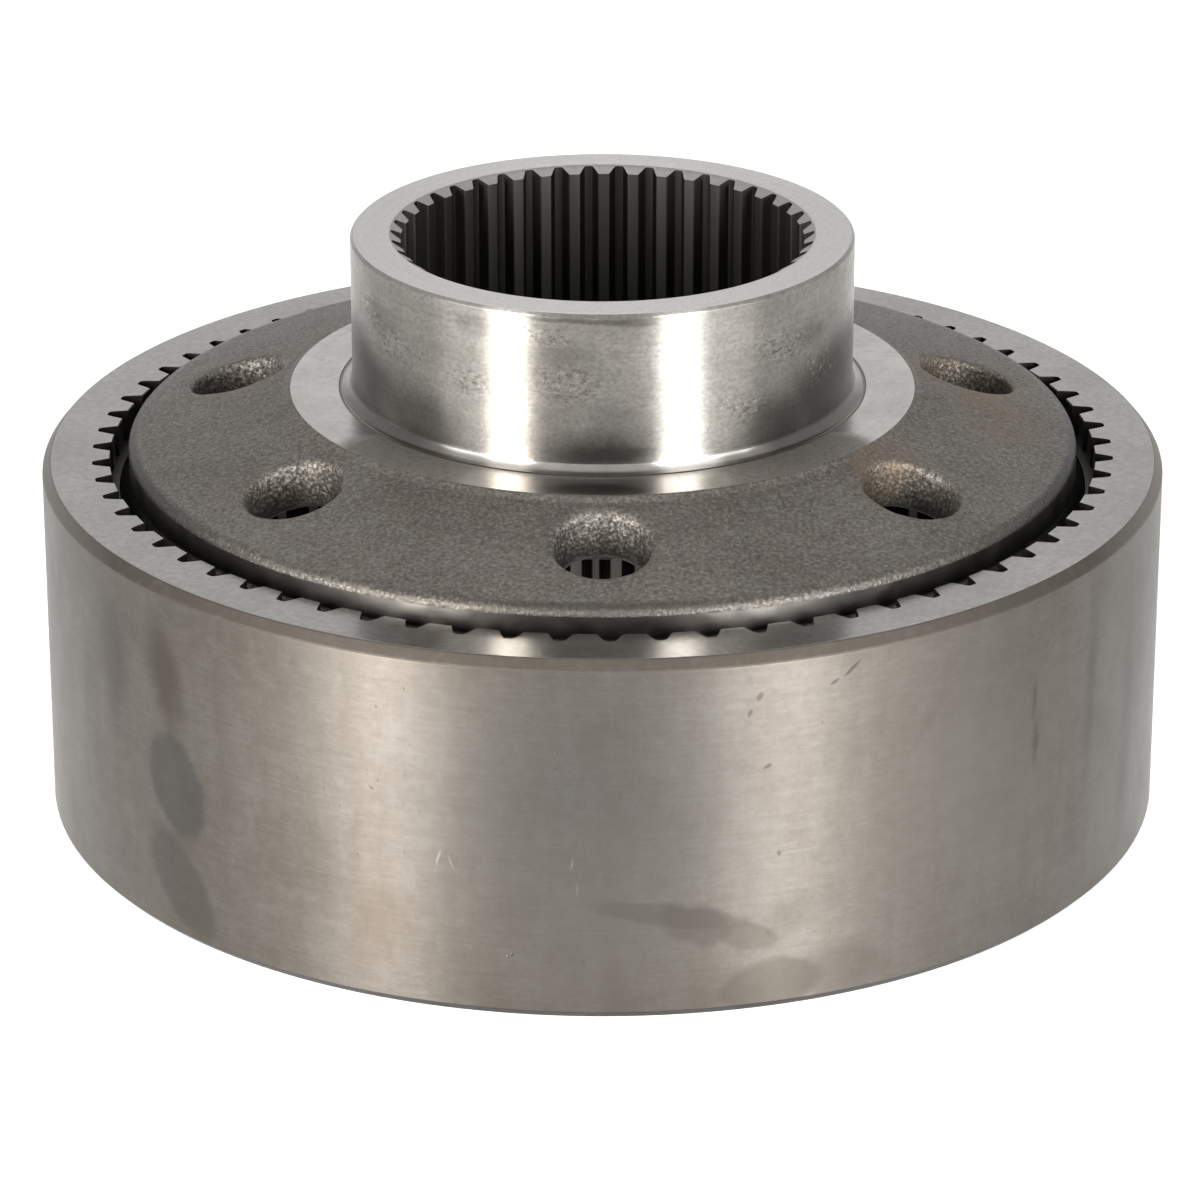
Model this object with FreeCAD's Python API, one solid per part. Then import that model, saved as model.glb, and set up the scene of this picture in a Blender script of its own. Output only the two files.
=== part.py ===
# Internal ring gear with its splined hub, held together by a retaining ring.
# Millimetres, +Z up. The origin is the centre of the ring gear's bottom face, and Z is the gear axis.
import FreeCAD, Part
import math
import os

Vector = FreeCAD.Vector
ORIGIN = Vector(0, 0, 0)
AXIS = Vector(0, 0, 1)

# Ring gear: turned outside, toothed inside over its whole height
ring_outer_diameter = 348.0
ring_wall = 15.4
ring_height = 113.0
ring_top_chamfer_width = 2.5
ring_top_chamfer_height = 3.0
ring_bottom_chamfer = 2.4

# Internal teeth, an involute form
ring_tooth_count = 68
pressure_angle = 20.0
ring_addendum = 4.5
ring_dedendum = 5.6
ring_tooth_thickness = 6.7
first_space_angle = 0.8

# Coupling end of the ring gear, where the tooth tips are bored out to take the hub
coupling_tip_trim = 0.1
coupling_depth = 42.0

# Hub teeth, which fill the spaces of the ring gear
hub_face_width = 28.0
hub_tip_clearance = 1.1
hub_root_clearance = 1.4
hub_flank_clearance = 0.5

# Retaining ring above the hub teeth, in a groove of the ring gear's teeth
retaining_ring_thickness = 4.0
retaining_ring_width = 5.6
retaining_ring_opening = 6.0
groove_depth = 3.3
groove_bottom_clearance = 0.2
groove_side_clearance = 0.15

# Hub rim, above the teeth
neck_clearance = 0.5
neck_rise = 5.0
shoulder_width = 2.7
shoulder_height = 4.5
rim_corner_chamfer = 1.2
rim_wall = 14.0

# Hub plate, a cast cone with round holes
plate_drop = 14.4
plate_thickness = 15.0
web_chamfer = 5.0
hole_count = 7
hole_circle_inset = 29.7
hole_diameter = 29.0
first_hole_angle = -90.0

# Turned face round the foot of the boss
face_diameter = 194.0
face_height = 62.6
face_lip = 1.0

# Boss
boss_diameter = 155.0
boss_foot_fillet = 3.2
boss_edge_chamfer = 1.0
hub_height = 112.0
boss_lower_diameter = 160.0
boss_lower_end = 35.0

# Splined bore through the boss
spline_count = 42
spline_minor_diameter = 124.0
spline_depth = 3.0
spline_tooth_thickness = 3.3
spline_flank_angle = 30.0
first_spline_angle = 3.85
bore_mouth_clearance = 0.5
bore_chamfer_angle = 30.0

# Sizes that follow from those above
outer_radius = ring_outer_diameter / 2
ring_root_radius = outer_radius - ring_wall
pitch_radius = ring_root_radius - ring_dedendum
gear_module = 2 * pitch_radius / ring_tooth_count
ring_tip_radius = pitch_radius - ring_addendum
coupling_radius = pitch_radius - coupling_tip_trim
ring_space_width = math.pi * gear_module - ring_tooth_thickness
seat_z = ring_height - coupling_depth

hub_tip_radius = ring_root_radius - hub_tip_clearance
hub_root_radius = coupling_radius - hub_root_clearance
hub_tooth_width = ring_space_width - hub_flank_clearance

groove_radius = coupling_radius + groove_depth
retainer_outer_radius = groove_radius - groove_bottom_clearance
retainer_inner_radius = retainer_outer_radius - retaining_ring_width
retainer_z = seat_z + hub_face_width
retainer_top_z = retainer_z + retaining_ring_thickness

neck_radius = retainer_inner_radius - neck_clearance
rim_radius = neck_radius - shoulder_width
rim_inner_radius = hub_root_radius - rim_wall
hole_circle_radius = rim_radius - hole_circle_inset
boss_radius = boss_diameter / 2
face_radius = face_diameter / 2

spline_minor_radius = spline_minor_diameter / 2
spline_major_radius = spline_minor_radius + spline_depth
spline_step = 360.0 / spline_count
spline_space_width = 2 * math.pi * spline_minor_radius / spline_count - spline_tooth_thickness
bore_chamfer_radius = spline_major_radius + bore_mouth_clearance
bore_chamfer_depth = bore_chamfer_radius * math.tan(math.radians(bore_chamfer_angle))
past = 1.0


def turned(corners, sweep=360):
    """A solid turned from an outline of (radius, height) corners."""
    points = [Vector(radius, 0, height) for radius, height in corners]
    return Part.Face(Part.makePolygon(points + points[:1])).revolve(ORIGIN, AXIS, sweep)


def polar(radius, angle):
    """A point at that radius and angle, in radians, round the gear axis."""
    return Vector(radius * math.cos(angle), radius * math.sin(angle), 0)


def involute(angle):
    return math.tan(angle) - angle


def gear_half_angle(radius, width):
    """Half the angle that an involute tooth takes at a radius, from its width at the pitch circle."""
    pressure = math.radians(pressure_angle)
    there = math.acos(pitch_radius * math.cos(pressure) / radius)
    return width / (2 * pitch_radius) + involute(pressure) - involute(there)


def spline_half_angle(radius, width):
    """Half the angle that a spline space takes at a radius, from its width at the minor circle."""
    taper = (radius - spline_minor_radius) * math.tan(math.radians(spline_flank_angle))
    return (width / 2 - taper) / radius


def toothed_wire(count, start, inner, outer, half_angle, width):
    """A closed outline of outward teeth, each with two flanks, a land and a root."""
    foot = half_angle(inner, width)
    head = half_angle(outer, width)
    points = []
    for i in range(count):
        at = math.radians(start) + i * 2 * math.pi / count
        points += [polar(inner, at - foot), polar(outer, at - head), polar(outer, at + head), polar(inner, at + foot)]
    return Part.makePolygon(points + points[:1])


def prism(outline, bottom, top):
    """A prism on a closed outline, from one height to another."""
    solid = Part.Face(outline).extrude(AXIS * (top - bottom))
    solid.translate(AXIS * bottom)
    return solid


def ring_gear():
    """The ring gear: a turned blank, its tooth spaces, and the bore and groove of its coupling end."""
    blank = turned([
        (0, 0),
        (outer_radius - ring_bottom_chamfer, 0),
        (outer_radius, ring_bottom_chamfer),
        (outer_radius, ring_height - ring_top_chamfer_height),
        (outer_radius - ring_top_chamfer_width, ring_height),
        (0, ring_height),
    ])
    spaces = toothed_wire(
        ring_tooth_count, first_space_angle, ring_tip_radius, ring_root_radius, gear_half_angle, ring_space_width
    )
    coupling_bore = turned([
        (0, seat_z),
        (coupling_radius, seat_z),
        (coupling_radius, retainer_z - groove_side_clearance),
        (groove_radius, retainer_z - groove_side_clearance),
        (groove_radius, retainer_top_z + groove_side_clearance),
        (coupling_radius, retainer_top_z + groove_side_clearance),
        (coupling_radius, ring_height + past),
        (0, ring_height + past),
    ])
    return blank.cut(prism(spaces, -past, ring_height + past)).cut(coupling_bore)


def retaining_ring():
    """A flat spring ring with one opening, turned through less than a full circle."""
    ring = turned([
        (retainer_inner_radius, retainer_z),
        (retainer_outer_radius, retainer_z),
        (retainer_outer_radius, retainer_top_z),
        (retainer_inner_radius, retainer_top_z),
    ], 360 - retaining_ring_opening)
    ring.rotate(ORIGIN, AXIS, 90 + retaining_ring_opening / 2)
    return ring


def plate_top(radius):
    """Height of the cast cone above the hub's seat, at a radius."""
    return face_height - face_lip - plate_drop * (radius - face_radius) / (rim_radius - face_radius)


def plate_underside(radius):
    return plate_top(radius) - plate_thickness


def hub_blank():
    """The hub before it is toothed, splined and holed, turned from one outline."""
    boss_lower_radius = boss_lower_diameter / 2
    web_inner_radius = boss_lower_radius + web_chamfer
    web_outer_radius = rim_inner_radius - web_chamfer
    foot_middle = boss_foot_fillet * (1 - math.sqrt(0.5))
    return turned([
        (0, boss_lower_end),
        (boss_lower_radius, boss_lower_end),
        (boss_lower_radius, plate_underside(boss_lower_radius) - web_chamfer),
        (web_inner_radius, plate_underside(web_inner_radius)),
        (web_outer_radius, plate_underside(web_outer_radius)),
        (rim_inner_radius, plate_underside(rim_inner_radius) - web_chamfer),
        (rim_inner_radius, 0),
        (hub_tip_radius, 0),
        (hub_tip_radius, hub_face_width),
        (neck_radius, hub_face_width),
        (neck_radius, hub_face_width + neck_rise),
        (rim_radius, hub_face_width + neck_rise + shoulder_height),
        (rim_radius, plate_top(rim_radius) - rim_corner_chamfer),
        (rim_radius - rim_corner_chamfer, plate_top(rim_radius - rim_corner_chamfer)),
        (face_radius, plate_top(face_radius)),
        (face_radius, face_height),
        (boss_radius + boss_foot_fillet, face_height),
        (boss_radius + foot_middle, face_height + foot_middle),
        (boss_radius, face_height + boss_foot_fillet),
        (boss_radius, hub_height - boss_edge_chamfer),
        (boss_radius - boss_edge_chamfer, hub_height),
        (0, hub_height),
    ])


def plate_holes():
    """The round holes of the cast plate, on one circle."""
    low = plate_underside(rim_inner_radius) - web_chamfer
    length = face_height - low
    holes = []
    for i in range(hole_count):
        at = math.radians(first_hole_angle) + i * 2 * math.pi / hole_count
        centre = polar(hole_circle_radius, at) + AXIS * low
        holes.append(Part.makeCylinder(hole_diameter / 2, length, centre))
    return holes


def ring_gear_hub():
    """The hub: a casting turned on its rim, teeth, boss and face, with a splined bore."""
    hub = hub_blank().cut(plate_holes())
    teeth = toothed_wire(
        ring_tooth_count, first_space_angle, hub_root_radius, hub_tip_radius, gear_half_angle, hub_tooth_width
    )
    round_collar = Part.makeCylinder(hub_tip_radius + past, hub_face_width + past, AXIS * -past)
    hub = hub.cut(round_collar.cut(prism(teeth, -2 * past, hub_face_width + past)))

    spaces = toothed_wire(
        spline_count, first_spline_angle + spline_step / 2, spline_minor_radius, spline_major_radius,
        spline_half_angle, spline_space_width
    )
    hub = hub.cut(prism(spaces, boss_lower_end - past, hub_height + past))
    hub = hub.cut(turned([
        (0, hub_height - bore_chamfer_depth),
        (bore_chamfer_radius, hub_height),
        (bore_chamfer_radius, hub_height + past),
        (0, hub_height + past),
    ]))
    hub.translate(AXIS * seat_z)
    return hub


nodes = {
    "ring_gear": ring_gear,
    "ring_gear_hub": ring_gear_hub,
    "retaining_ring": retaining_ring,
}
os.makedirs("parts", exist_ok=True)
for name, make in nodes.items():
    shape = make()
    shape.exportStep(f"parts/{name}.step")
    print(name, len(shape.Solids), shape.isValid(), round(shape.Volume / 1000, 1), "cm3")
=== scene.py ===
# %% [markdown]
# # An internal ring gear and its splined hub
#
# The object is a deep steel ring with teeth inside. A cast hub sits in its upper end: a shallow cone with
# round holes, and a tall boss with a splined bore. The solids come from the CAD model as a fixed frame. Here
# each visible piece gets a finer mesh of the same form, with the rounded edges that catch the light, and a
# finish: turned steel, sand-cast iron, rust and oil stains.

import math

import bmesh
import bpy
from mathutils import Matrix, Vector, noise


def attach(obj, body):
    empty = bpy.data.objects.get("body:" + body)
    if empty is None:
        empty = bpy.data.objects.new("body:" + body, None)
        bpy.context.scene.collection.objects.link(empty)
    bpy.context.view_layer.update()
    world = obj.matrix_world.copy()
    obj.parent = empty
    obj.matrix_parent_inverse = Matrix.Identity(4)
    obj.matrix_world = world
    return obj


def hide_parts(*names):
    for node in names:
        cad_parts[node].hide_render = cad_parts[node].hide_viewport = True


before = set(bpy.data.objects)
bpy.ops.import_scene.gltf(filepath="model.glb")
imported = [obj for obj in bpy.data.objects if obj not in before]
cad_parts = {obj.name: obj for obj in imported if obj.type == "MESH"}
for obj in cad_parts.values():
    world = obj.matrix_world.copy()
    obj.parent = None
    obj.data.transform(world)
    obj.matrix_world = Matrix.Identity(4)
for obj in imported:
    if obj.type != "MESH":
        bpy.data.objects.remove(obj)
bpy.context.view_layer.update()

# %% [markdown]
# ## Small tools
#
# Everything here is round, so three operators do most of the work. A chain of edges is a section drawing. A
# vertex bevel rounds its corners. A spin turns it about the gear axis, as a lathe does. What repeats, such as
# a tooth, is made once and spun round as copies, and then doubled vertices are merged.

# %% Points and chains of edges
MM = 0.001
AXIS = Vector((0, 0, 1))
CENTRE = Vector((0, 0, 0))
WELD = 0.002 * MM


def at(radius, degrees, height=0.0):
    """A point in metres from a radius and a height in millimetres, and an angle round the axis."""
    turn = math.radians(degrees)
    return Vector((radius * math.cos(turn), radius * math.sin(turn), height)) * MM


def radius_of(co):
    return math.hypot(co.x, co.y) / MM


def chain(bm, points):
    """Edges through points, and the vertices that they join."""
    verts = [bm.verts.new(point) for point in points]
    edges = [bm.edges.new(pair) for pair in zip(verts, verts[1:])]
    return verts, edges


print("a point, in m:", at(174, 30)[:])

# %% Turning, copying round and filling
def add_to(bm, part):
    """Moves one bmesh's geometry into another."""
    mesh = bpy.data.meshes.new("part")
    part.to_mesh(mesh)
    part.free()
    bm.from_mesh(mesh)
    bpy.data.meshes.remove(mesh)


def turn_section(bm, corners, steps, rounds=4):
    """Spins a section of (radius, height) corners in millimetres. A third number rounds that corner."""
    part = bmesh.new()
    verts, _ = chain(part, [at(corner[0], 0, corner[1]) for corner in corners])
    for vert, corner in zip(verts, corners):
        if len(corner) > 2:
            bmesh.ops.bevel(part, geom=[vert], offset=corner[2] * MM, offset_type="OFFSET", segments=rounds,
                            profile=0.5, affect="VERTICES", material=-1)
    bmesh.ops.spin(part, geom=part.verts[:] + part.edges[:], cent=CENTRE, axis=AXIS, angle=2 * math.pi,
                   steps=steps, use_merge=True)
    add_to(bm, part)


def repeat_round(bm, count):
    """Copies everything round the axis, so that there are count of it, and welds the seams."""
    bmesh.ops.spin(bm, geom=bm.verts[:] + bm.edges[:] + bm.faces[:], cent=CENTRE, axis=AXIS,
                   angle=2 * math.pi * (count - 1) / count, steps=count - 1, use_duplicate=True)
    bmesh.ops.remove_doubles(bm, verts=bm.verts[:], dist=WELD)


def extrude_chain(bm, edges):
    """Extrudes edges in place, and returns the new edges and vertices, which the caller moves."""
    new = bmesh.ops.extrude_edge_only(bm, edges=edges)["geom"]
    return ([e for e in new if isinstance(e, bmesh.types.BMEdge)],
            [v for v in new if isinstance(v, bmesh.types.BMVert)])


def open_edges(bm, low_r, high_r, low_z, high_z):
    """The boundary edges whose ends lie between two radii and two heights, in millimetres."""
    def inside(vert):
        return low_r <= radius_of(vert.co) <= high_r and low_z <= vert.co.z / MM <= high_z
    return [e for e in bm.edges if e.is_boundary and all(inside(v) for v in e.verts)]


def fill_flat(bm, low_r, high_r, height):
    """Fills the flat ring between two open outlines at one height."""
    edges = open_edges(bm, low_r, high_r, height - 0.01, height + 0.01)
    bmesh.ops.triangle_fill(bm, use_beauty=True, use_dissolve=False, edges=edges)


band = bmesh.new()
turn_section(band, [(10, 0), (10, 5)], steps=8)
print("faces of a turned band:", len(band.faces))
band.free()

# %% From a mesh to a piece
SHARP_DEGREES = 32


def add_object(name, data):
    """Puts an object with that mesh, camera or lamp into the scene."""
    added = bpy.data.objects.new(name, data)
    bpy.context.scene.collection.objects.link(added)
    return added


def make_piece(bm, name, node, finishes, zone):
    """Closes a mesh, shades it, and puts it in the scene in place of its CAD node. zone picks a face's finish."""
    bmesh.ops.remove_doubles(bm, verts=bm.verts[:], dist=WELD)
    bmesh.ops.recalc_face_normals(bm, faces=bm.faces[:])
    names = list(finishes)
    for face in bm.faces:
        middle = face.calc_center_median()
        face.material_index = names.index(zone(radius_of(middle), middle.z / MM, face.normal))
    gaps = sum(1 for e in bm.edges if not e.is_manifold)
    mesh = bpy.data.meshes.new(name)
    bm.to_mesh(mesh)
    volume = bm.calc_volume()
    bm.free()
    mesh.polygons.foreach_set("use_smooth", [True] * len(mesh.polygons))
    mesh.set_sharp_from_angle(angle=math.radians(SHARP_DEGREES))
    piece = add_object(name, mesh)
    for finish in finishes.values():
        mesh.materials.append(finish.material)
    even = piece.modifiers.new("even_normals", "WEIGHTED_NORMAL")
    even.keep_sharp = True
    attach(piece, "root")
    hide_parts(node)
    mesh.calc_loop_triangles()
    print(name, "triangles", len(mesh.loop_triangles), "open edges", gaps, "cm3", round(volume * 1e6, 1))


# %% [markdown]
# ## Tools for finishes
#
# A finish is a small tree of nodes round one shader. Everything is driven by the point on the object, in metres,
# so a pattern keeps its real size and stays where it is. Noise gives clouds, grain and streaks. A mapping node
# turns one point of the wall into the middle of a spot, which places a stain. Machined metal is grooved: the
# cutter left fine rings round the axis, and they smear each highlight across the grooves, up a wall or out over
# a face. The shader does that when it is given the direction of the rings as its tangent.
#
# Colour is built like paint: two tones as a base, and then tints over it. Each tint's masks, from 0 to 1, say
# where it lies and how strongly.

# %% Tools for finishes
class Finish:
    """A material in the making: its nodes, its shader, the point on the object, and the colour so far."""

    def __init__(self, name, metallic, roughness, grooved=0.0):
        self.material = bpy.data.materials.new(name)
        self.material.use_nodes = True
        self.tree = self.material.node_tree
        self.shader = self.tree.nodes["Principled BSDF"]
        self.shader.inputs["Metallic"].default_value = metallic
        self.shader.inputs["Roughness"].default_value = roughness
        self.place = self.step("ShaderNodeTexCoord").outputs["Object"]
        if grooved:
            self.shader.inputs["Anisotropic"].default_value = grooved
            self.shader.inputs["Anisotropic Rotation"].default_value = 0.25
            rings = self.step("ShaderNodeVectorMath", {0: AXIS, 1: self.place}, operation="CROSS_PRODUCT")
            along = self.step("ShaderNodeVectorMath", {0: rings.outputs[0]}, operation="NORMALIZE")
            self.tree.links.new(along.outputs[0], self.shader.inputs["Tangent"])

    def step(self, kind, inputs=None, **settings):
        """Adds a node. An input is a value, or the output that drives it."""
        new = self.tree.nodes.new(kind)
        for name, value in settings.items():
            setattr(new, name, value)
        for key, value in (inputs or {}).items():
            if isinstance(value, bpy.types.NodeSocket):
                self.tree.links.new(value, new.inputs[key])
            else:
                new.inputs[key].default_value = value
        return new

    def math(self, operation, a, b=0.0):
        return self.step("ShaderNodeMath", {0: a, 1: b}, operation=operation).outputs[0]

    def times(self, first, *others):
        """The product of numbers and outputs."""
        for other in others:
            first = self.math("MULTIPLY", first, other)
        return first

    def axes(self):
        """The point's x, y and z, in metres."""
        return self.step("ShaderNodeSeparateXYZ", {0: self.place}).outputs

    def radius(self):
        """The point's distance from the gear axis, in metres."""
        x, y, _ = self.axes()
        return self.math("SQRT", self.math("ADD", self.times(x, x), self.times(y, y)))

    def fit(self, value, low, high, to_low=0.0, to_high=1.0, soft=False):
        """Takes one range of a value to another, and holds it there."""
        inputs = {0: value, 1: low, 2: high, 3: to_low, 4: to_high}
        kind = "SMOOTHSTEP" if soft else "LINEAR"
        return self.step("ShaderNodeMapRange", inputs, interpolation_type=kind).outputs[0]

    def noise(self, size, detail=3.0, rough=0.55, shift=0.0):
        """Noise from 0 to 1. size is in millimetres, one number or one for each of x, y and z."""
        sizes = size if isinstance(size, tuple) else (size, size, size)
        scale = tuple(1000 / s for s in sizes)
        inputs = {"Vector": self.place, "Scale": scale, "Location": (shift, shift, shift)}
        spread = self.step("ShaderNodeMapping", inputs).outputs[0]
        inputs = {"Vector": spread, "Scale": 1.0, "Detail": detail, "Roughness": rough}
        return self.step("ShaderNodeTexNoise", inputs).outputs[0]

    def rings(self, pitch, detail=2.0, drift=90.0, shift=0.0):
        """Noise in thin rings round the axis, on walls and faces alike: the marks of a turning tool."""
        x, y, z = self.axes()
        across = self.times(self.math("ADD", self.radius(), z), 1000 / pitch)
        inputs = {0: self.times(x, 1000 / drift), 1: self.times(y, 1000 / drift),
                  2: self.math("ADD", across, shift)}
        spread = self.step("ShaderNodeCombineXYZ", inputs).outputs[0]
        return self.step("ShaderNodeTexNoise", {"Vector": spread, "Scale": 1.0, "Detail": detail}).outputs[0]

    def spot(self, radius, degrees, height, wide, tall, lean=0.0, soft=0.3, ragged=0.0, deep=30.0):
        """1 inside a spot, 0 outside. degrees is 0 at the front and grows to the right; half sizes in mm."""
        place = self.place
        if ragged:
            cloud = self.step("ShaderNodeTexNoise", {"Vector": place, "Scale": 110.0, "Detail": 3.0}).outputs[1]
            cloud = self.step("ShaderNodeVectorMath", {0: cloud, 1: (0.5, 0.5, 0.5)}, operation="SUBTRACT")
            inputs = {0: cloud.outputs[0], 1: (ragged * MM * 2,) * 3, 2: place}
            place = self.step("ShaderNodeVectorMath", inputs, operation="MULTIPLY_ADD").outputs[0]
        inputs = {"Vector": place, "Location": at(radius, degrees - 90, height),
                  "Rotation": (0, math.radians(lean), math.radians(degrees)),
                  "Scale": (wide * MM, deep * MM, tall * MM)}
        local = self.step("ShaderNodeMapping", inputs, vector_type="TEXTURE").outputs[0]
        away = self.step("ShaderNodeVectorMath", {0: local}, operation="LENGTH").outputs[1]
        return self.fit(away, 1 + soft, 1 - soft, soft=True)

    def mix(self, mask, a, b):
        """Mixes two colours, each three numbers or an output."""
        a, b = [(*c, 1) if isinstance(c, tuple) else c for c in (a, b)]
        return self.step("ShaderNodeMix", {0: mask, 6: a, 7: b}, data_type="RGBA").outputs[2]

    def base(self, mask, dark, light):
        """Starts the colour with two tones, dark where the mask is 0."""
        self.colour = self.mix(mask, dark, light)

    def over(self, tint, *masks):
        """Lays a tint over the colour so far, as far as the masks' product says."""
        self.colour = self.mix(self.times(*masks), self.colour, tint)

    def bump(self, height, depth, under=None):
        """Relief from a height of 0 to 1. depth is in millimetres."""
        inputs = {"Strength": 1.0, "Distance": depth * MM, "Height": height}
        if under:
            inputs["Normal"] = under
        return self.step("ShaderNodeBump", inputs).outputs[0]

    def close(self, relief=None, roughness=None):
        """Gives the shader the colour, and a relief and a roughness where they vary."""
        for name, value in (("Base Color", self.colour), ("Normal", relief), ("Roughness", roughness)):
            if value:
                self.tree.links.new(value, self.shader.inputs[name])


print("a finish has noise, rings, spots, tints and relief")

# %% [markdown]
# ## The internal teeth
#
# A cutter shapes the teeth inside the real ring, and their flanks are involutes. Arcs could stand in for them,
# but only the true curve leaves an even gap to the hub's teeth. So one pitch is a chain of worked-out points:
# half a space, a flank and half a tooth, and then the same mirrored.

# %% One pitch of the internal teeth
MODULE = 4.5
PRESSURE_DEGREES = 20
RING_TEETH = 68
RING_PITCH_R = MODULE * RING_TEETH / 2
RING_ROOT_R = 158.6
RING_TIP_R = 148.5
FIRST_SPACE = 0.8
TOOTH_WIDTH = 6.7
RING_STEP = 360 / RING_TEETH
ROOT_ROUND = 0.5
TIP_ROUND = 0.3


def involute(angle):
    return math.tan(angle) - angle


def space_half_degrees(radius, narrower):
    """Half the angle that a tooth space takes at a radius."""
    pressure = math.radians(PRESSURE_DEGREES)
    there = math.acos(RING_PITCH_R * math.cos(pressure) / radius)
    width = math.pi * MODULE - TOOTH_WIDTH - narrower
    return math.degrees(width / (2 * RING_PITCH_R) + involute(pressure) - involute(there))


def gear_pitch(root_r, tip_r, flank_radii, narrower=0.0):
    """Points of one pitch in plan, as (radius, degrees), from the middle of one space to the next."""
    root_half = space_half_degrees(root_r, narrower)
    soft = math.degrees(ROOT_ROUND / root_r)
    half = [(root_r, 0), (root_r, root_half - soft), (root_r - ROOT_ROUND * 0.3, root_half - soft * 0.3)]
    half += [(r, space_half_degrees(r, narrower)) for r in flank_radii]
    tip_half = space_half_degrees(tip_r, narrower) + math.degrees(TIP_ROUND / tip_r)
    half += [(tip_r, tip_half), (tip_r, RING_STEP / 2)]
    return half + [(r, RING_STEP - a) for r, a in reversed(half[:-1])]


ring_pitch = gear_pitch(RING_ROOT_R, RING_TIP_R, [157.8, 156.2, 154.5, 152.9, 151.0, 148.8])
print("points in one ring pitch:", len(ring_pitch))

# %% [markdown]
# ## The ring gear's mesh
#
# The ring is turned outside. At its upper end the tooth tips are bored out and grooved, for the hub and the
# retaining ring. Booleans could cut that, but they leave ragged faces. Here the chain rises level by level, and
# a trim radius at each level holds its tips back. A spun section makes the outside, with rounded edges.

# %% The ring gear's mesh
RING_R = 174.0
RING_H = 113.0
TOP_CHAMFER_WIDTH, TOP_CHAMFER_HEIGHT = 2.5, 3.0
LOW_CHAMFER = 2.4
INNER_CHAMFER = 0.6
SEAT_Z = 71.0
COUPLING_R = 152.9
GROOVE_R = 156.2
GROOVE_Z = (98.85, 103.15)
RING_LEVELS = [
    (0.0, RING_TIP_R + INNER_CHAMFER), (INNER_CHAMFER, RING_TIP_R), (SEAT_Z, RING_TIP_R), (SEAT_Z, COUPLING_R),
    (GROOVE_Z[0], COUPLING_R), (GROOVE_Z[0], GROOVE_R), (GROOVE_Z[1], GROOVE_R), (GROOVE_Z[1], COUPLING_R),
    (RING_H - 0.4, COUPLING_R), (RING_H, COUPLING_R + 0.3),
]


def rise(bm, edges, levels, plan):
    """Extrudes a chain up through (height, trim radius) levels: no point stays inside the trim radius."""
    start = dict(plan)
    for height, trim in levels:
        edges, verts = extrude_chain(bm, edges)
        moved = {}
        for vert in verts:
            below = next(v for e in vert.link_edges for v in e.verts if v in start)
            radius, degrees = start[below]
            vert.co = at(max(radius, trim), degrees, height)
            moved[vert] = (radius, degrees)
        start = moved


teeth = bmesh.new()
plan = [(r, a + FIRST_SPACE) for r, a in ring_pitch]
verts, edges = chain(teeth, [at(max(r, RING_LEVELS[0][1]), a, 0) for r, a in plan])
rise(teeth, edges, RING_LEVELS[1:], zip(verts, plan))
repeat_round(teeth, RING_TEETH)
turn_section(teeth, [
    (RING_R - LOW_CHAMFER - 1.0, 0), (RING_R - LOW_CHAMFER, 0, 0.4), (RING_R, LOW_CHAMFER, 0.4),
    (RING_R, RING_H - TOP_CHAMFER_HEIGHT, 0.5), (RING_R - TOP_CHAMFER_WIDTH, RING_H, 0.4),
    (RING_R - TOP_CHAMFER_WIDTH - 1.1, RING_H),
], steps=RING_TEETH * 4)
for height in (0, RING_H):
    fill_flat(teeth, 0, RING_R, height)
print("ring gear faces:", len(teeth.faces))

# %% [markdown]
# ## The ring's turned wall
#
# The wall is satin turned steel. It carries faint upright streaks from the oil that ran down it, dull films,
# darker stains, nicks and scratches. They could be painted as an image, but an image blurs close up. Layers of
# noise keep their real size, and each mark that stands out is a spot, placed by its angle and height.

# %% The turned wall
wall = Finish("turned_wall", 1.0, 0.43, grooved=0.78)
streaks = wall.noise((13, 13, 160), detail=4, rough=0.6)
blotches = wall.noise((16, 16, 26), detail=5, rough=0.65, shift=3)
pale = wall.noise((7, 7, 30), detail=4, shift=9)
turning = wall.rings(0.9)
grain = wall.noise(1.5, detail=4, rough=0.7)
mottle = wall.noise((6, 6, 4), detail=4, rough=0.65, shift=12)
brushed = wall.rings(0.55, detail=3, drift=7, shift=6)
wall.base(wall.fit(wall.noise(55, detail=4), 0.35, 0.65), (0.116, 0.103, 0.088), (0.147, 0.134, 0.119))
wall.over((0.098, 0.081, 0.065), wall.fit(streaks, 0.46, 0.72, 0, 0.42))
wall.over((0.09, 0.078, 0.066), wall.fit(blotches, 0.52, 0.75, 0, 0.35))
wall.over((0.17, 0.165, 0.156), wall.fit(pale, 0.55, 0.75, 0, 0.25))
wall.over((0.075, 0.068, 0.061), wall.fit(turning, 0.3, 0.7, 0, 0.2))
wall.over((0.078, 0.07, 0.061), wall.fit(grain, 0.35, 0.75, 0, 0.36))
wall.over((0.16, 0.151, 0.139), wall.fit(mottle, 0.45, 0.75, 0, 0.34))
wall.over((0.165, 0.156, 0.144), wall.fit(brushed, 0.56, 0.74, 0, 0.3))
OIL = (0.066, 0.057, 0.048)
THIN_OIL = (0.068, 0.059, 0.05)
NICK = (0.04, 0.036, 0.032)
SCRATCH = (0.3, 0.285, 0.26)
STREAK = (0.055, 0.046, 0.038)
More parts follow.
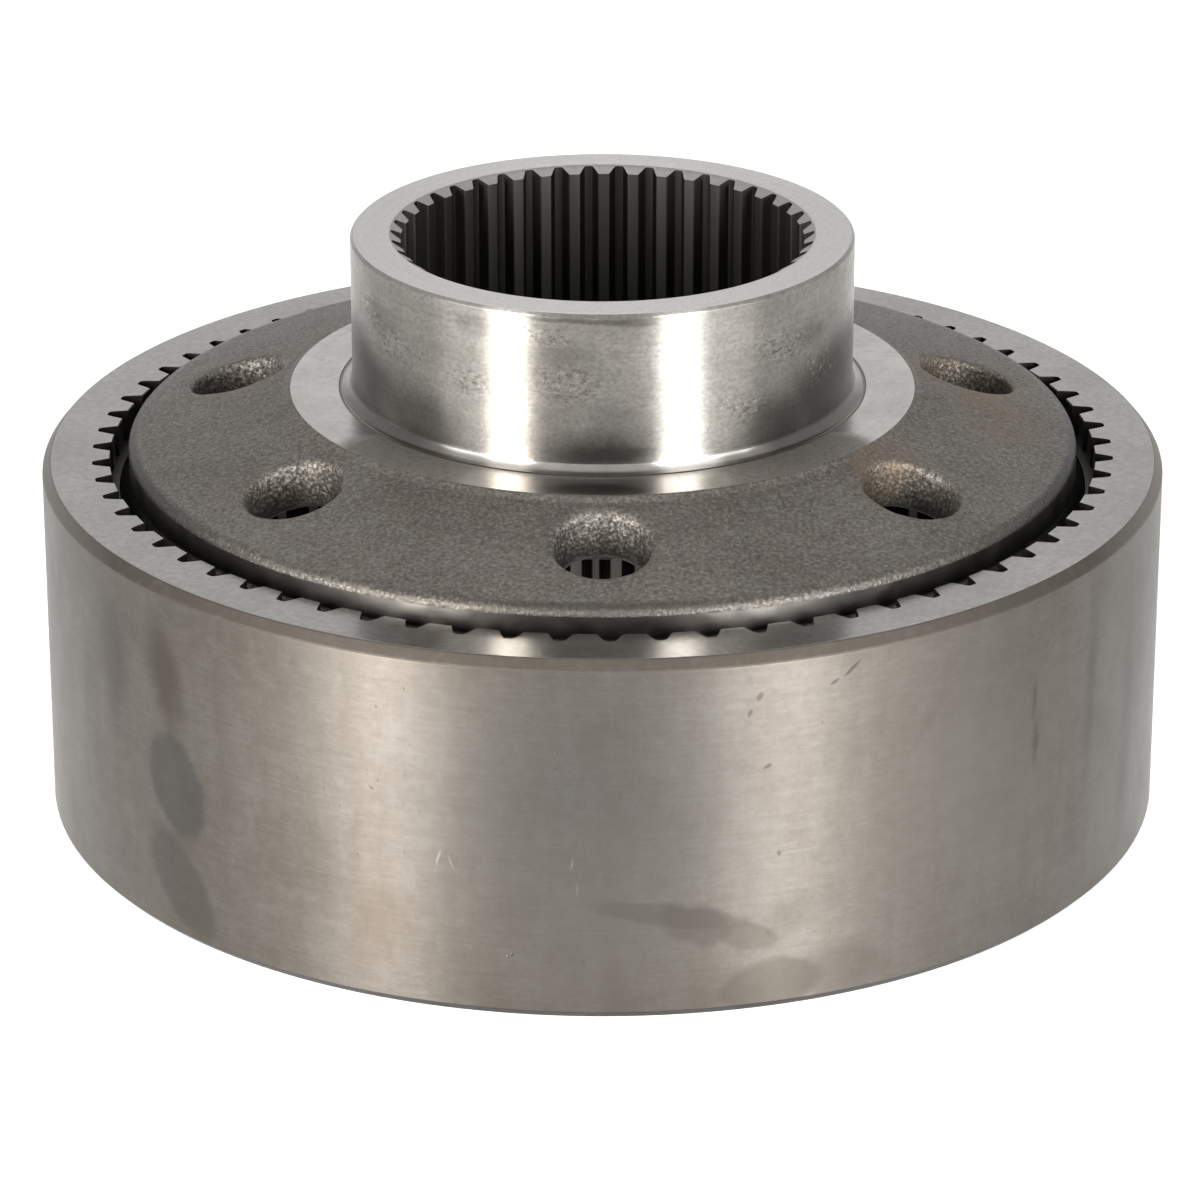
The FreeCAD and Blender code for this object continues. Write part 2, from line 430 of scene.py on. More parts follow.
# Degrees, height, half width, half height, lean, softness, raggedness, strength, tint
stains = [
    # large stains at the left
    (-46.5, 50.5, 11.5, 16.5, -22, 0.16, 1.8, 0.58, (0.051, 0.05, 0.047)),
    (-46.3, 19, 10, 19, -40, 0.2, 1.8, 0.5, (0.059, 0.052, 0.046)),
    (-57, 81, 7, 17, -8, 0.6, 2, 0.62, (0.063, 0.055, 0.045)),
    (-48, 85, 6.5, 16, -10, 0.6, 2.5, 0.72, (0.064, 0.05, 0.037)),
    # oil stains right of the middle
    (6.5, 33, 22, 3.6, 9, 0.22, 1.6, 0.52, OIL),
    (8.8, 30.4, 10.5, 6.4, 14, 0.24, 2.2, 0.54, OIL),
    (14, 24.6, 9, 4.6, 17, 0.22, 2.2, 0.5, OIL),
    (18.5, 30, 10, 5, -14, 0.6, 3, 0.3, THIN_OIL),
    (16.4, 8, 15, 8.2, -7, 0.16, 2, 0.6, OIL),
    (23, 9.5, 14, 8, -4, 0.45, 3, 0.4, THIN_OIL),
    # nicks and scratches
    (24.2, 104.8, 3.2, 0.5, -38, 0.4, 0.6, 0.75, NICK),
    (22.4, 101.8, 1.5, 0.5, -30, 0.4, 0.5, 0.7, NICK),
    (15, 100, 0.8, 1.3, 35, 0.4, 0.5, 0.6, NICK),
    (14, 95, 0.6, 1.2, 30, 0.4, 0.5, 0.6, NICK),
    (15.8, 78, 1.3, 0.6, -25, 0.4, 0.5, 0.65, NICK),
    (17, 50, 0.7, 0.8, 0, 0.4, 0.4, 0.55, NICK),
    (-15.8, 49, 0.35, 2.4, 12, 0.6, 1.6, 0.4, SCRATCH),
    (-14.6, 48, 0.3, 2, -20, 0.6, 1.6, 0.32, SCRATCH),
    (33, 84, 1.8, 9, 35, 0.7, 2.5, 0.3, (0.066, 0.058, 0.05)),
    # a brown patch, and wide tints over the middle and the right
    (-21.8, 27, 7, 13, 25, 0.8, 4, 0.35, (0.081, 0.06, 0.041)),
    (-3, 68, 44, 36, 0, 0.8, 6, 0.38, (0.124, 0.121, 0.117)),
    (38, 62, 34, 46, 0, 0.9, 6, 0.4, (0.175, 0.163, 0.147)),
    (-2.9, 50, 0.35, 1.8, 10, 0.6, 1.6, 0.36, SCRATCH),
    (-2.3, 42, 0.3, 1.9, -6, 0.6, 1.6, 0.3, SCRATCH),
    (47, 78, 0.9, 5.5, 4, 0.8, 1.6, 0.45, STREAK),
    (47.3, 63, 1.1, 6, 3, 0.8, 2, 0.5, STREAK),
    (-2, 18, 30, 30, 0, 0.9, 6, 0.3, (0.165, 0.152, 0.136)),
    # far right and back
    (57, 70, 3.2, 26, 3, 0.8, 3, 0.45, (0.066, 0.059, 0.051)),
    (66, 50, 5, 34, 0, 0.8, 3, 0.4, (0.066, 0.06, 0.054)),
    (128, 60, 14, 20, 20, 0.7, 5, 0.35, (0.06, 0.057, 0.051)),
    (190, 38, 22, 8, -10, 0.5, 3, 0.35, (0.069, 0.06, 0.051)),
]
for degrees, height, wide, tall, lean, soft, ragged, strength, tint in stains:
    wall.over(tint, wall.spot(RING_R, degrees, height, wide, tall, lean, soft, ragged), strength)
nicks = wall.noise((1.6, 1.6, 2.6), detail=2, shift=5)
nicks = wall.times(wall.fit(nicks, 0.7, 0.76), wall.fit(wall.noise(30, detail=2, shift=7), 0.5, 0.6))
wall.over(NICK, nicks, 0.5)
height = wall.axes()[2]
# Painted contact shadow: the wall darkens below 2.8 mm, towards its bottom edge.
wall.over((0.02, 0.02, 0.02), wall.fit(height, 0.0028, 0.0021, 0, 0.8))
relief = wall.bump(turning, 0.006)
relief = wall.bump(wall.noise(22, detail=2, shift=2), 0.1, relief)
relief = wall.bump(nicks, 0.04, wall.bump(grain, 0.01, relief))
dull = wall.math("ADD", wall.fit(blotches, 0.3, 0.75, 0.34, 0.41), wall.fit(height, 0.0, RING_H * MM, 0.0, 0.09))
wall.close(relief, dull)
print("stains placed on the wall:", len(stains))

# %% [markdown]
# ## The ground top, the chamfer and the teeth
#
# The top was ground and is lighter and smoother than the wall, so it mirrors the boss. The chamfer is duller,
# with painted rim light at its far left and right. The teeth are dark with oil, and darker still as painted shade
# for the deep tooth spaces. Below the seat, mostly at the back, painted light brightens their tips and roots.
# Each could be an object of its own, but one mesh has no seams. So each zone of it has a finish, chosen by where
# a face is and where it looks.

# %% The ground top, the chamfer and the teeth
top = Finish("ground_top", 1.0, 0.17, grooved=0.6)
grain = top.noise(2.2, detail=4, rough=0.7)
top.base(top.fit(top.noise(38, detail=4), 0.3, 0.7), (0.255, 0.246, 0.235), (0.32, 0.31, 0.297))
top.over((0.22, 0.21, 0.2), top.fit(top.rings(0.7), 0.35, 0.75, 0, 0.16))
top.over((0.19, 0.18, 0.168), top.fit(grain, 0.45, 0.7, 0, 0.6))
top.over((0.4, 0.39, 0.375), top.fit(grain, 0.45, 0.28, 0, 0.4))
relief = top.bump(top.noise(1.2, detail=3), 0.004, top.bump(top.rings(0.8, shift=4), 0.004))
top.close(relief, top.fit(top.noise(12), 0.3, 0.7, 0.15, 0.2))

chamfer = Finish("dull_chamfer", 1.0, 0.62, grooved=0.3)
chamfer.base(chamfer.noise(30, detail=4), (0.064, 0.055, 0.046), (0.091, 0.081, 0.07))
chamfer.over((0.14, 0.128, 0.115), chamfer.fit(chamfer.noise(3, detail=4), 0.5, 0.8, 0, 0.3))
# Painted rim light: the chamfer is lighter at its far left and right, where it is seen edge-on.
sideways = chamfer.math("ABSOLUTE", chamfer.axes()[0])
chamfer.over((0.185, 0.172, 0.156), chamfer.fit(sideways, 0.145, 0.172, 0, 0.85))
chamfer.close(chamfer.bump(chamfer.rings(0.6), 0.008))

tooth = Finish("shaped_teeth", 1.0, 0.42)
# Dark oiled steel, kept darker still as painted shade for the deep tooth spaces.
tooth.base(tooth.noise((5, 5, 40), detail=4), (0.028, 0.026, 0.023), (0.062, 0.058, 0.052))
_, back, height = tooth.axes()
reach = tooth.radius()
# Painted light: below the seat the tips and roots are lighter, mostly at the back of the ring.
tips = tooth.math("MAXIMUM", tooth.fit(reach, 0.1492, 0.1487), tooth.fit(reach, 0.1577, 0.1583, 0.0, 0.8))
lighter_tone = tooth.mix(tooth.noise((3, 3, 12), detail=4), (0.16, 0.148, 0.13), (0.27, 0.255, 0.23))
tooth.over(lighter_tone, tips, tooth.fit(height, 0.072, 0.07), tooth.fit(back, 0.12, 0.142, 0.06, 1.0))
relief = tooth.bump(tooth.noise((0.5, 0.5, 25), detail=2), 0.012)
tooth.close(relief, tooth.fit(tooth.noise(6), 0.3, 0.7, 0.36, 0.5))
TEETH_OUT_R = 162.0


def ring_zone(radius, height, normal):
    """The finish of a face of the ring gear, from where it is and where it looks."""
    if radius < TEETH_OUT_R and (abs(normal.z) < 0.9 or SEAT_Z - 1 < height < RING_H - 1):
        return "teeth"
    if height > RING_H - 0.25 and normal.z > 0.985:
        return "top"
    if height > RING_H - TOP_CHAMFER_HEIGHT - 0.6 and normal.z > 0.25:
        return "chamfer"
    return "wall"


ring_finishes = {"wall": wall, "top": top, "chamfer": chamfer, "teeth": tooth}
make_piece(teeth, "ring_gear_fine", "ring_gear", ring_finishes, ring_zone)

# %% [markdown]
# ## The hub's cast plate
#
# The plate is a cone with seven round holes, whose edges the sand mould left soft. Holes cut by a boolean would
# still need their edges rounded, on a slope. So one seventh is drawn flat: the hole is a circle, rings round it
# make the soft edge, and a bridge joins them to the sector's outline. Then each point gets its height.

# %% One seventh of the plate, above and below
HUB_STEPS = 336
HOLES = 7
HOLE_R = 14.5
HOLE_CIRCLE_R = 117.5
FIRST_HOLE = -90.0
FACE_R = 97.0
RIM_R = 147.2
PLATE_RISE = 132.6
PLATE_FALL = 14.4
PLATE_THICK = 15.0
SECTOR = 360 / HOLES
ARC_STEPS = HUB_STEPS // HOLES
SEAM_STEPS = 6
SOFT_SHARES = (0.06, 0.2, 0.4, 0.65, 1.0)
hole_centre = at(HOLE_CIRCLE_R, FIRST_HOLE)


def cone_z(radius):
    """Height of the plate's upper side."""
    return PLATE_RISE - PLATE_FALL * (radius - FACE_R) / (RIM_R - FACE_R)


def sector_outline(inner, outer):
    """Points in plan along the outline of one sector: two arcs and two straight seams."""
    left = FIRST_HOLE - SECTOR / 2
    arc = [left + SECTOR * i / ARC_STEPS for i in range(ARC_STEPS + 1)]
    seam = [inner + (outer - inner) * i / SEAM_STEPS for i in range(1, SEAM_STEPS)]
    points = [at(radius, degrees) for radius in (inner, outer) for degrees in arc]
    return points + [at(radius, degrees) for radius in seam for degrees in (arc[0], arc[-1])]


def round_hole(co):
    """The angle of a point round the hole, seen in plan."""
    return math.atan2(co.y - hole_centre.y, co.x - hole_centre.x)


def side_height(co, drop, soft):
    """Height of the plate's side at a point in plan, with the soft edge of the hole."""
    off = math.hypot(co.x - hole_centre.x, co.y - hole_centre.y) / MM - HOLE_R
    inside = soft - min(max(off, 0), soft)
    round_off = soft - math.sqrt(max(soft ** 2 - inside ** 2, 0))
    return (cone_z(radius_of(co)) - drop + (round_off if drop else -round_off)) * MM


def plate_side(inner, outer, drop, soft, cuts):
    """One side of a sector of the plate. drop is 0 on top and the plate's thickness below."""
    side = bmesh.new()
    outline = sorted(sector_outline(inner, outer), key=round_hole)
    ring = bmesh.ops.create_circle(side, cap_ends=False, radius=HOLE_R * MM, segments=len(outline))["verts"]
    bmesh.ops.translate(side, verts=ring, vec=hole_centre)
    edges = side.edges[:]
    reach = HOLE_R
    for share in SOFT_SHARES:
        wider = HOLE_R + soft * share
        edges, verts = extrude_chain(side, edges)
        bmesh.ops.scale(side, verts=verts, vec=Vector((1, 1, 1)) * (wider / reach),
                        space=Matrix.Translation(-hole_centre))
        reach = wider
    last = set(verts)
    edges, verts = extrude_chain(side, edges)
    for vert, point in zip(sorted(verts, key=lambda v: round_hole(v.co)), outline):
        vert.co = point
    across = [e for v in verts for e in v.link_edges if e.other_vert(v) in last]
    bmesh.ops.subdivide_edges(side, edges=across, cuts=cuts, use_grid_fill=True)
    for vert in side.verts:
        vert.co.z = side_height(vert.co, drop, soft)
    return side


PLATE_IN, PLATE_OUT = 99.0, 144.0
UNDER_IN, UNDER_OUT = 87.0, 133.4
SOFT_TOP, SOFT_UNDER = 2.4, 1.2
WALL_RINGS = 7
hub = plate_side(PLATE_IN, PLATE_OUT, 0, SOFT_TOP, 9)
edges = [e for e in hub.edges if e.is_boundary
         and all((Vector((v.co.x, v.co.y, 0)) - hole_centre).length < (HOLE_R + 0.01) * MM for v in e.verts)]
for i in range(1, WALL_RINGS + 1):
    edges, verts = extrude_chain(hub, edges)
    for vert in verts:
        top_z, under_z = side_height(vert.co, 0, SOFT_TOP), side_height(vert.co, PLATE_THICK, SOFT_UNDER)
        vert.co.z = top_z + (under_z - top_z) * i / WALL_RINGS
add_to(hub, plate_side(UNDER_IN, UNDER_OUT, PLATE_THICK, SOFT_UNDER, 6))
repeat_round(hub, HOLES)
print("plate faces:", len(hub.faces))

# %% [markdown]
# ## The rim and the underside
#
# The rim is turned, with a rounded corner above, and a shoulder and a neck that leave room for the retaining
# ring. Below, the casting is hollow between rim and boss. A lathe would make all this from a section, and so
# does a spin. It has as many steps as the plate's arcs, so that the rings of vertices meet and weld.

# %% The rim and the underside
TOOTH_Z = (71.0, 99.0)
RIM_ROUND = 2.5
SHOULDER_Z = 108.5
NECK_R, NECK_Z = 149.9, 104.0
RIM_IN = 137.5
BOSS_LOW_R = 80.0
BOSS_LOW_Z = 106.0
turn_section(hub, [
    (PLATE_OUT, cone_z(PLATE_OUT)), (RIM_R, cone_z(RIM_R), RIM_ROUND), (RIM_R, SHOULDER_Z, 0.5),
    (NECK_R, NECK_Z, 0.4), (NECK_R, TOOTH_Z[1]),
], steps=HUB_STEPS)
turn_section(hub, [
    (RIM_IN + 2.5, TOOTH_Z[0]), (RIM_IN + 1.0, TOOTH_Z[0], 0.3), (RIM_IN, TOOTH_Z[0] + 1.0, 0.3),
    (RIM_IN, cone_z(RIM_IN) - PLATE_THICK, 4.0), (UNDER_OUT, cone_z(UNDER_OUT) - PLATE_THICK),
], steps=HUB_STEPS, rounds=8)
turn_section(hub, [
    (UNDER_IN, cone_z(UNDER_IN) - PLATE_THICK), (BOSS_LOW_R, cone_z(BOSS_LOW_R) - PLATE_THICK, 5.0),
    (BOSS_LOW_R, BOSS_LOW_Z, 1.5), (BOSS_LOW_R - 3.0, BOSS_LOW_Z),
], steps=HUB_STEPS, rounds=8)
print("hub faces so far:", len(hub.faces))

# %% [markdown]
# ## The boss
#
# The boss is a tall turned tube on a turned face. A short cast slope leads up to the face, a fine groove line
# runs round the boss, and its foot is a fillet. All of it is one section, because a corner that is bevelled in
# the section stays even all the way round.

# %% The boss
BOSS_R = 77.5
FACE_Z = 133.6
HUB_TOP = 183.0
FOOT_ROUND = 3.2
FOOT_R = BOSS_R + FOOT_ROUND
LINE_Z = FACE_Z - 0.2
turn_section(hub, [
    (PLATE_IN, cone_z(PLATE_IN)), (FACE_R, FACE_Z, 0.6),
    (FOOT_R + 1.1, FACE_Z), (FOOT_R + 0.9, LINE_Z), (FOOT_R + 0.2, LINE_Z), (FOOT_R, FACE_Z),
    (BOSS_R, FACE_Z, FOOT_ROUND - 0.01), (BOSS_R, HUB_TOP - 1.0, 0.3), (BOSS_R - 1.0, HUB_TOP, 0.3),
    (BOSS_R - 2.0, HUB_TOP),
], steps=HUB_STEPS, rounds=6)
print("with the boss:", len(hub.faces))

# %% [markdown]
# ## The splined bore
#
# A broach cuts the splines along the whole bore, and a chamfer opens its mouth. The chamfer cuts each spline
# where it stands, so it would be hard to bevel. Here one spline is a chain of points in plan, and its upper
# vertices are lifted to the slope of the chamfer. Copies go round, and the flat ends are filled in.

# %% The splined bore
SPLINES = 42
SPLINE_TIP_R = 62.0
SPLINE_ROOT_R = 65.0
MOUTH_R = 65.5
SLOPE = math.tan(math.radians(30))
SPLINE_WIDTH = 3.3
FIRST_SPLINE = 3.85
SPLINE_STEP = 360 / SPLINES


def spline_half_degrees(radius):
    """Half the angle that a spline tooth takes at a radius."""
    space = 2 * math.pi * SPLINE_TIP_R / SPLINES - SPLINE_WIDTH
    half_space = space / 2 - (radius - SPLINE_TIP_R) * SLOPE
    return SPLINE_STEP / 2 - math.degrees(half_space / radius)


def spline_pitch():
    """Points of one spline in plan, from the middle of one space to the next, with rounded tips and roots."""
    half = [(SPLINE_TIP_R, 0), (SPLINE_TIP_R, spline_half_degrees(SPLINE_TIP_R) - 0.28),
            (SPLINE_TIP_R + 0.08, spline_half_degrees(SPLINE_TIP_R + 0.08) - 0.06)]
    half += [(r, spline_half_degrees(r)) for r in (SPLINE_TIP_R + 0.4, 63.6, 64.6)]
    half += [(64.9, spline_half_degrees(64.8) + 0.15), (SPLINE_ROOT_R, spline_half_degrees(64.9) + 0.45),
             (SPLINE_ROOT_R, SPLINE_STEP / 2)]
    return [(r, -a) for r, a in reversed(half[1:])] + half


bore = bmesh.new()
_, edges = chain(bore, [at(r, a + FIRST_SPLINE, BOSS_LOW_Z) for r, a in spline_pitch()])
_, upper = extrude_chain(bore, edges)
for vert in upper:
    vert.co.z = (HUB_TOP - (MOUTH_R - radius_of(vert.co)) * SLOPE) * MM
repeat_round(bore, SPLINES)
_, mouth = extrude_chain(bore, open_edges(bore, 0, MOUTH_R, HUB_TOP - 5, HUB_TOP))
for vert in mouth:
    vert.co = at(MOUTH_R, math.degrees(math.atan2(vert.co.y, vert.co.x)), HUB_TOP)
add_to(hub, bore)
fill_flat(hub, 60, BOSS_R, HUB_TOP)
fill_flat(hub, 60, BOSS_LOW_R, BOSS_LOW_Z)
print("with the bore:", len(hub.faces))

# %% [markdown]
# ## The hub's own teeth
#
# Teeth round the hub's rim fill the ring gear's tooth spaces and lock the two together. They could be a second
# drawing, but a fit is safer from one rule, so they use the same pitch as the ring gear, 0.5 mm narrower.

# %% The hub's own teeth
HUB_ROOT_R = 151.5
HUB_TIP_R = 157.5
FLANK_PLAY = 0.5
coupling = bmesh.new()
plan = gear_pitch(HUB_TIP_R, HUB_ROOT_R, [156.7, 154.5, 152.4], narrower=FLANK_PLAY)
_, edges = chain(coupling, [at(r, a + FIRST_SPACE, TOOTH_Z[0]) for r, a in plan])
_, upper = extrude_chain(coupling, edges)
bmesh.ops.translate(coupling, verts=upper, vec=AXIS * (TOOTH_Z[1] - TOOTH_Z[0]) * MM)
repeat_round(coupling, RING_TEETH)
add_to(hub, coupling)
for height in TOOTH_Z:
    fill_flat(hub, RIM_IN, HUB_TIP_R + 1, height)
print("with its teeth:", len(hub.faces))

# %% [markdown]
# ## The cast relief
#
# Sand casting leaves a gently uneven skin under its grain. A bump in the finish would leave the outline and the
# edges straight. So the vertices of the cast faces move a little along their normals, by coarse and fine noise.
# The move fades out where a machined edge begins.

# %% The cast relief
SKIN_IN, SKIN_OUT = FACE_R + 0.5, 146.0
SKIN_FADE = 3
COARSE, FINE = 0.16, 0.09


def fade(radius):
    """How far a point of the plate may move: nothing where the turned face or the rim begins."""
    return min(max((radius - SKIN_IN) / SKIN_FADE, 0), max((SKIN_OUT - radius) / SKIN_FADE, 0), 1)


bmesh.ops.remove_doubles(hub, verts=hub.verts[:], dist=WELD)
bmesh.ops.recalc_face_normals(hub, faces=hub.faces[:])
hub.normal_update()
moved = 0
for vert in hub.verts:
    radius, height = radius_of(vert.co), vert.co.z / MM
    if SKIN_IN < radius < SKIN_OUT and height > cone_z(radius) - PLATE_THICK - 1:
        waves = COARSE * noise.noise(vert.co * 110) + FINE * noise.noise(vert.co * 300 + Vector((5, 0, 0)))
        vert.co += vert.normal * waves * fade(radius) * MM
        moved += 1
print("vertices moved for the cast skin:", moved)

# %% [markdown]
# ## The cast skin
#
# The plate keeps its skin from the sand mould: dark grey grain, coarser in the holes, with rust beginning at some
# of them. In the holes painted glints light the upper walls, painted shade darkens them deeper down, and a
# painted highlight runs along the lower edge. Sculpting each grain would take millions of faces. So two noises
# make the grain, in colour and in relief, and a round mask at each hole, with the depth below the cone, changes
# them there.

# %% The cast skin
cast = Finish("cast_skin", 0.75, 0.55)
sand = cast.noise(1.15, detail=4, rough=0.65)
fine_sand = cast.noise(0.55, detail=2, rough=0.6, shift=4)
clouds = cast.noise(26, detail=4, shift=1)
brown = cast.noise(34, detail=4, rough=0.6, shift=17)
across, _, up = cast.axes()
reach = cast.radius()
lighter_tone = cast.math("ADD", cast.fit(clouds, 0.36, 0.64, 0.0, 0.66), cast.fit(reach, 0.118, 0.143, 0.0, 0.12))
cast.base(lighter_tone, (0.058, 0.052, 0.045), (0.112, 0.104, 0.095))
cast.over((0.086, 0.07, 0.054), cast.fit(brown, 0.5, 0.66, 0, 0.45))
cast.over((0.15, 0.141, 0.13), cast.fit(fine_sand, 0.35, 0.7, 0, 0.3))
cast.over((0.05, 0.046, 0.041), cast.fit(reach, 0.1435, 0.145, 0.0, 0.45))
cast.over((0.088, 0.076, 0.061), cast.fit(cast.noise(9, detail=3, shift=11), 0.35, 0.65, 0, 0.5))
cast.over((0.18, 0.169, 0.154), cast.fit(sand, 0.5, 0.68, 0, 0.62))
cast.over((0.03, 0.027, 0.023), cast.fit(sand, 0.5, 0.3, 0, 0.75))

HOLE_EDGE_R = HOLE_R + 1.0
in_hole = 0.0
for number in range(HOLES):
    inside = cast.spot(HOLE_CIRCLE_R, number * SECTOR, cone_z(HOLE_CIRCLE_R) - 3, HOLE_EDGE_R, 30, soft=0.08,
                       deep=HOLE_EDGE_R)
    in_hole = cast.math("MAXIMUM", in_hole, inside)
mould = cast.noise(1.05, detail=4, rough=0.7, shift=9)
cone = cast.fit(reach, FACE_R * MM, RIM_R * MM, PLATE_RISE * MM, (PLATE_RISE - PLATE_FALL) * MM)
depth = cast.math("SUBTRACT", cone, up)
# Painted shade: the hole walls darken with depth below the cone.
cast.over((0.024, 0.021, 0.017), in_hole, cast.fit(depth, 0.003, 0.011, 0.0, 0.8))
cast.over((0.014, 0.012, 0.01), in_hole, cast.fit(mould, 0.49, 0.38), 0.75)
# Painted glints on the hole walls, strongest near the top.
glint = cast.times(in_hole, cast.fit(mould, 0.51, 0.64), cast.fit(depth, 0.0135, 0.004, 0.25, 1.0))
cast.over((0.42, 0.398, 0.36), glint, 0.52)
sideways = cast.math("ABSOLUTE", across)
# Painted highlight along the lower edge of each hole, strongest in the front hole.
low_edge = cast.times(in_hole, cast.fit(depth, 0.0134, 0.0141, 0.0, 0.65))
cast.over((0.26, 0.245, 0.22), low_edge, cast.fit(sideways, 0.04, 0.02, 0.1, 1.0))

# Painted shade on the rim corner: darker at the front middle, and near black at the far left and right.
CORNER_R = 146.5
front = cast.spot(CORNER_R, 0, cone_z(CORNER_R), 38, 8, soft=0.5, deep=9)
cast.over((0.036, 0.033, 0.029), front, cast.fit(reach, 0.1435, 0.145, 0.0, 0.6))
cast.over((0.006, 0.005, 0.005), cast.fit(reach, 0.1438, 0.1456), cast.fit(sideways, 0.105, 0.142, 0.0, 0.92))
# Degrees, radius, half width, half depth, strength
rust_patches = [
    (SECTOR + 3, 104.5, 14, 8, 0.6), (SECTOR - 2, 110, 9, 7, 0.25),
    (2 * SECTOR - 3, 116, 20, 18, 0.85), (2 * SECTOR - 18, 124, 18, 14, 0.5),
    (3 * SECTOR, 116, 15, 14, 0.5), (5 * SECTOR + 3, 116, 15, 13, 0.45),
    (4 * SECTOR, 116, 14, 12, 0.4),
]
rust = cast.fit(cast.noise(5, detail=5, rough=0.7, shift=6), 0.32, 0.6)
for degrees, radius, wide, deep, strength in rust_patches:
    patch = cast.spot(radius, degrees, cone_z(radius), wide, 12, soft=0.5, deep=deep)
    cast.over((0.118, 0.077, 0.044), patch, rust, strength)
dull = cast.math("SUBTRACT", cast.fit(sand, 0.3, 0.7, 0.62, 0.46), cast.fit(reach, 0.1425, 0.145, 0.0, 0.16))
cast.close(cast.bump(fine_sand, 0.1, cast.bump(sand, 0.3)), dull)
print("rust patches:", len(rust_patches))

# %% [markdown]
# ## The turned face and the boss's foot
#
# The face was turned bright, and two dull films lie on it at the left and the right. The foot is a bright
# fillet that mirrors the lamps, with painted highlights where the two bands fall, and its dark sides are partly
# stains and partly painted shade. A film could be a thin mesh of its own, but it has no thickness to see, so it
# is a spot that changes colour and roughness at once.

# %% The turned face and the foot
face = Finish("turned_face", 1.0, 0.2, grooved=0.75)
films = face.math("MAXIMUM", face.spot(89, -42, FACE_Z, 22, 20, soft=0.2, ragged=3.0, deep=15),
                  face.spot(89, 42, FACE_Z, 26, 20, soft=0.15, ragged=2.0, deep=15))
dust = face.noise(1.3, detail=4, rough=0.65, shift=5)
mottle = face.noise(2.6, detail=4, rough=0.65, shift=8)
face.base(face.fit(face.noise(14, detail=4), 0.3, 0.7), (0.36, 0.345, 0.325), (0.46, 0.445, 0.425))
face.over((0.24, 0.225, 0.205), face.fit(face.rings(0.8), 0.4, 0.8, 0, 0.25))
face.over((0.15, 0.137, 0.119), films, 0.85)
face.over((0.07, 0.062, 0.052), films, face.fit(dust, 0.45, 0.7, 0, 0.6))
# Painted dark reflection: a darker spot at the front middle of the face.
face.over((0.05, 0.045, 0.04), face.spot(92, -1, FACE_Z, 15, 20, soft=0.45, ragged=3.0, deep=4), 0.7)
face.over((0.225, 0.21, 0.19), face.fit(mottle, 0.5, 0.72, 0, 0.4))
face.close(face.bump(face.rings(0.5, shift=3), 0.004), face.fit(films, 0, 1, 0.2, 0.5))

foot = Finish("turned_foot", 1.0, 0.24, grooved=0.9)
foot.base(foot.fit(foot.noise(8, detail=4), 0.3, 0.7), (0.27, 0.26, 0.243), (0.36, 0.348, 0.328))
# The dark tint is partly stain and partly painted shade; the bright tint is a painted highlight where a lamp's
# band falls.
DARK_STAIN_AND_SHADE, PAINTED_HIGHLIGHT = (0.05, 0.046, 0.04), (0.66, 0.64, 0.61)
# Degrees, half width, raggedness, strength, tint
foot_spots = [(-62, 34, 3, 0.8, DARK_STAIN_AND_SHADE), (62, 36, 3, 0.78, DARK_STAIN_AND_SHADE), (150, 60, 3, 0.6, DARK_STAIN_AND_SHADE),
              (-140, 60, 3, 0.6, DARK_STAIN_AND_SHADE), (-21, 7, 0, 0.5, PAINTED_HIGHLIGHT), (20, 9, 0, 0.95, PAINTED_HIGHLIGHT)]
for degrees, wide, ragged, strength, tint in foot_spots:
    foot.over(tint, foot.spot(BOSS_R, degrees, FACE_Z + 1, wide, 9, soft=0.35, ragged=ragged), strength)
foot.close(foot.bump(foot.rings(0.5, shift=7), 0.004))
print("spots on the foot:", len(foot_spots))

# %% [markdown]
# ## The boss and its top
#
# The boss was turned to a polish. Light falls down it in two tall bands, broken by dark films near its foot, by
# smudges and by pitted patches. The films are partly oil and partly painted shade, at the front middle and the
# sides. Painted stripes would show the bands from one side only. Grooved metal makes them out of the two lamps,
# from any side, and the films are ragged spots.

# %% The boss and its top
boss = Finish("turned_boss", 1.0, 0.31, grooved=0.95)
speckle = boss.noise((1.4, 1.4, 1.1), detail=4, rough=0.7)
scuffs = boss.noise((3.5, 3.5, 2.2), detail=4, rough=0.7, shift=11)
smudge = boss.noise((9, 9, 5), detail=5, rough=0.7, shift=2)
boss.base(boss.fit(boss.noise((22, 22, 12), detail=4), 0.3, 0.7), (0.228, 0.217, 0.198), (0.31, 0.296, 0.273))
boss.over((0.15, 0.142, 0.13), boss.fit(boss.rings(1.1), 0.35, 0.75, 0, 0.25))
boss.over((0.105, 0.098, 0.087), boss.fit(speckle, 0.42, 0.7, 0, 0.52))
boss.over((0.34, 0.33, 0.31), boss.fit(scuffs, 0.55, 0.75, 0, 0.3))
boss.over((0.15, 0.136, 0.112), boss.fit(smudge, 0.54, 0.72, 0, 0.35))
